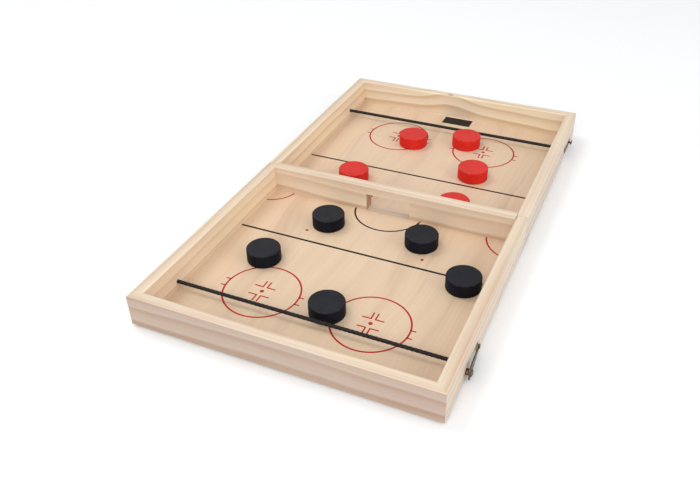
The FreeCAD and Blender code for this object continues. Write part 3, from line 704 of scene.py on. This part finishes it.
# ------------------------------------------------------------ fittings
def cross_recess(bm, centre, axis, size, deep):
    """A cutter for a cross recess: two crossed wedges that narrow with depth."""
    first, second = frame_of(axis)
    for one, two in ((first, second), (second, first)):
        loops = []
        for along, share in ((deep, 1.0), (-deep, 0.45)):
            middle, long_half, short_half = centre + axis * along, size * share, size * 0.2 * share
            loops.append([
                bm.verts.new(middle + one * (sx * long_half) + two * (sy * short_half))
                for sx, sy in ((-1, -1), (1, -1), (1, 1), (-1, 1))])
        skin(bm, loops)
        if one is second:
            bmesh.ops.reverse_faces(bm, faces=bm.faces[-6:])
    bmesh.ops.recalc_face_normals(bm, faces=bm.faces)


def carve(piece, build_cutter):
    """Cuts a shape out of a piece and keeps the result as its mesh."""
    mesh = bpy.data.meshes.new("cutter")
    bm = bmesh.new()
    build_cutter(bm)
    bm.to_mesh(mesh)
    bm.free()
    cutter = bpy.data.objects.new("cutter", mesh)
    bpy.context.scene.collection.objects.link(cutter)
    cut = piece.modifiers.new("cut", "BOOLEAN")
    cut.operation = "DIFFERENCE"
    cut.solver = "EXACT"
    cut.use_self = True
    cut.object = cutter
    graph = bpy.context.evaluated_depsgraph_get()
    made = bpy.data.meshes.new_from_object(piece.evaluated_get(graph))
    piece.modifiers.clear()
    piece.data = made
    made.shade_smooth()
    made.set_sharp_from_angle(angle=math.radians(35))
    bpy.data.objects.remove(cutter)
    bpy.data.meshes.remove(mesh)


def domed_screw(bm, tip, axis, reach, shank, head_radius, head_high):
    """A screw along axis from its tip: a shank, then a domed head with an eased rim."""
    rim = 0.3 * head_high
    profile = [(0.0, shank * 0.3), (shank, shank), (reach, shank), (reach, head_radius - 0.1 * MM),
               (reach + 0.1 * MM, head_radius), (reach + rim, head_radius)]
    for i in range(1, 7):
        angle = math.radians(15 * i)
        profile.append((
            reach + rim + (head_high - rim) * math.sin(angle), max(head_radius * math.cos(angle), 0.05 * MM)))
    turned_solid(bm, tip, axis, profile, 40)


def make_screws(node, body, places, axis_of, sizes, material):
    """Replaces a CAD node of screws by screws with cross recesses."""
    def build(bm):
        for tip, side in places:
            domed_screw(bm, tip, axis_of(side), *sizes)

    piece = piece_from(f"{node}_detailed", build, body, material)
    reach, _, head_radius, head_high = sizes

    def cutters(bm):
        for tip, side in places:
            axis = axis_of(side)
            cross_recess(bm, tip + axis * (reach + head_high), axis, 0.55 * head_radius, 0.6 * head_high)

    carve(piece, cutters)
    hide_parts(node)
    return piece


def outward(side):
    return Vector((side, 0, 0))


def make_fittings():
    """Screws and studs with real heads; plates, hooks and spacers with eased edges; hinge parts in bronze."""
    for side_name, side in SIDES:
        for node, body, radii in (
                (f"{side_name}_pivot_screw", "near_tray", (1.3, 3.4, 1.5)),
                (f"{side_name}_catch_stud", "far_tray", (1.4, 3.0, 1.2))):
            low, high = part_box(node)
            shank, head_radius, head_high = (value * MM for value in radii)
            tip = Vector((low.x if side > 0 else high.x, (low.y + high.y) / 2, (low.z + high.z) / 2))
            reach = high.x - low.x - head_high
            make_screws(
                node, body, [(tip, side)], outward, (reach, shank, head_radius, head_high), BRONZE)
        low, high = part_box(f"{side_name}_plate_screws")
        head_radius, head_high, shank = 2.1 * MM, 0.6 * MM, 1.1 * MM
        places = []
        for y in (low.y + head_radius, high.y - head_radius):
            places.append((Vector((low.x if side > 0 else high.x, y, (low.z + high.z) / 2)), side))
        make_screws(
            f"{side_name}_plate_screws", "far_tray", places, outward,
            (high.x - low.x - head_high, shank, head_radius, head_high), BRONZE)
        for node in (f"{side_name}_hook", f"{side_name}_strike_plate", f"{side_name}_hook_spacer"):
            wear(node, BRONZE)
            soften(node, 0.18 * MM)
        for tray_name, _ in TRAYS:
            wear(f"{side_name}_hinge_{tray_name}_leaf", HINGE_METAL)
        wear(f"{side_name}_hinge_pin", HINGE_METAL)
    for tray_name, _ in TRAYS:
        wear(f"{tray_name}_hinge_screws", HINGE_METAL)


def make_feet():
    """Four stick-on rubber feet with rounded rims."""
    for tray_name, _ in TRAYS:
        low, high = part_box(f"{tray_name}_feet")
        radius, height = (high.y - low.y) / 2, high.z - low.z
        easing = 0.35 * height
        rim = quarter((easing, radius - easing), easing, 180, 90, 5)
        profile = [(0.0, 0.02 * radius), *rim, (height, radius)]

        def build(bm):
            for _, side in SIDES:
                base = Vector((side * (high.x - radius), (low.y + high.y) / 2, low.z))
                turned_solid(bm, base, Vector((0, 0, 1)), profile, 48)

        feet = piece_from(f"{tray_name}_rubber_feet", build, f"{tray_name}_tray", RUBBER)
        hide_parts(f"{tray_name}_feet")


# ------------------------------------------------------------ floor and light
def make_stage():
    """A plain pale floor, a pale room and soft lights from above."""
    mesh = bpy.data.meshes.new("floor")
    half = 4.0
    corners = [(-half, -half, 0), (half, -half, 0), (half, half, 0), (-half, half, 0)]
    mesh.from_pydata(corners, [], [(0, 1, 2, 3)])
    floor = bpy.data.objects.new("floor", mesh)
    bpy.context.scene.collection.objects.link(floor)
    g = Graph("floor_paint")
    g.set(Base_Color=(0.90, 0.915, 0.925, 1), Roughness=0.9)
    mesh.materials.append(g.material)

    world = bpy.data.worlds.new("room")
    world.use_nodes = True
    backdrop = world.node_tree.nodes["Background"]
    backdrop.inputs["Color"].default_value = (0.97, 0.98, 1.0, 1)
    backdrop.inputs["Strength"].default_value = 0.71
    bpy.context.scene.world = world

    for name, place, size, power in (
            ("left_light", (-1.05, 0.15, 1.85), 0.8, 10.5),
            ("front_light", (0.16, -2.5, 1.6), 1.9, 38.0),
            ("right_light", (2.2, -0.45, 1.2), 1.35, 16.0)):
        data = bpy.data.lights.new(name, "AREA")
        data.shape = "SQUARE"
        data.size = size
        data.energy = power
        data.color = (1.0, 0.985, 0.965)
        light = bpy.data.objects.new(name, data)
        light.location = place
        light.rotation_euler = (-Vector(place)).to_track_quat("-Z", "Y").to_euler()
        bpy.context.scene.collection.objects.link(light)
    bpy.context.scene.view_settings.view_transform = "Standard"


rail_wood()
printed_marks()
for number in range(1, 6):
    make_puck(f"black_puck_{number}", BLACK_PAINT)
    make_puck(f"red_puck_{number}", RED_PAINT)
make_fittings()
make_feet()
make_stage()
